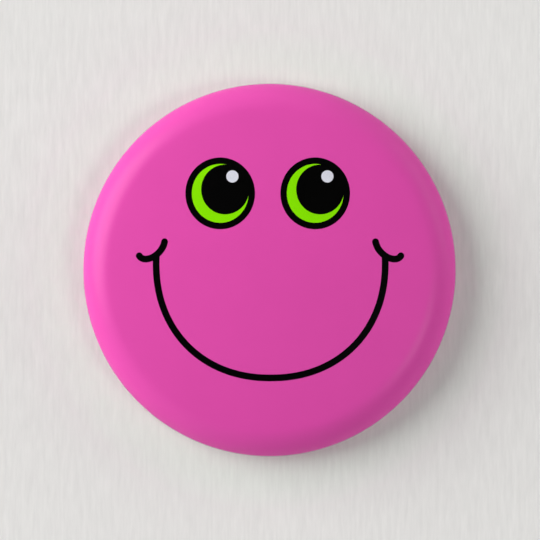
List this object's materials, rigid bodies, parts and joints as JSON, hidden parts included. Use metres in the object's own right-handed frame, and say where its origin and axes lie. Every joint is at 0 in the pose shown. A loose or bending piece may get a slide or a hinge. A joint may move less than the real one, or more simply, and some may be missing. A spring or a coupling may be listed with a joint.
{
  "type": "button badge",
  "caption": "Round domed button badge with a printed smiling face under clear film, and a hooked spring-wire pin across its recessed steel back.",
  "frame": {"origin": "centre of the back rim ring, on the plane where the badge rests on the garment", "axes": "as worn: the face looks along -Y, the back rim faces +Y, the top of the printed face points along +Z, and +X is to the right of someone who looks at the face"},
  "size_m": [0.0572, 0.009, 0.0572],
  "materials": {
    "clear_film": "glossy",
    "pink_paper": "printed paper",
    "shell_steel": "drawn tinplate",
    "back_steel": "stamped tinplate",
    "pin_wire": "nickel plated",
    "black_ink": "printed",
    "green_ink": "printed",
    "pale_ink": "printed"
  },
  "bodies": {
    "badge": {"face_film": "clear_film", "printed_disc": "pink_paper", "front_shell": "shell_steel", "back_plate": "back_steel", "pin_wire_anchor": "pin_wire", "left_eye_black_print": "black_ink", "left_eye_green_print": "green_ink", "left_eye_glint_print": "pale_ink", "right_eye_black_print": "black_ink", "right_eye_green_print": "green_ink", "right_eye_glint_print": "pale_ink", "smile_print": "black_ink"},
    "pin": {"pin_arm": "pin_wire"}
  },
  "joints": [
    {"name": "pin_open", "type": "hinge", "parent": "badge", "child": "pin", "pos_m": [-0.0145, -0.00155, 0.004], "axis": [0, 0.7071, 0.7071], "range_deg": [0, 40]}
  ]
}
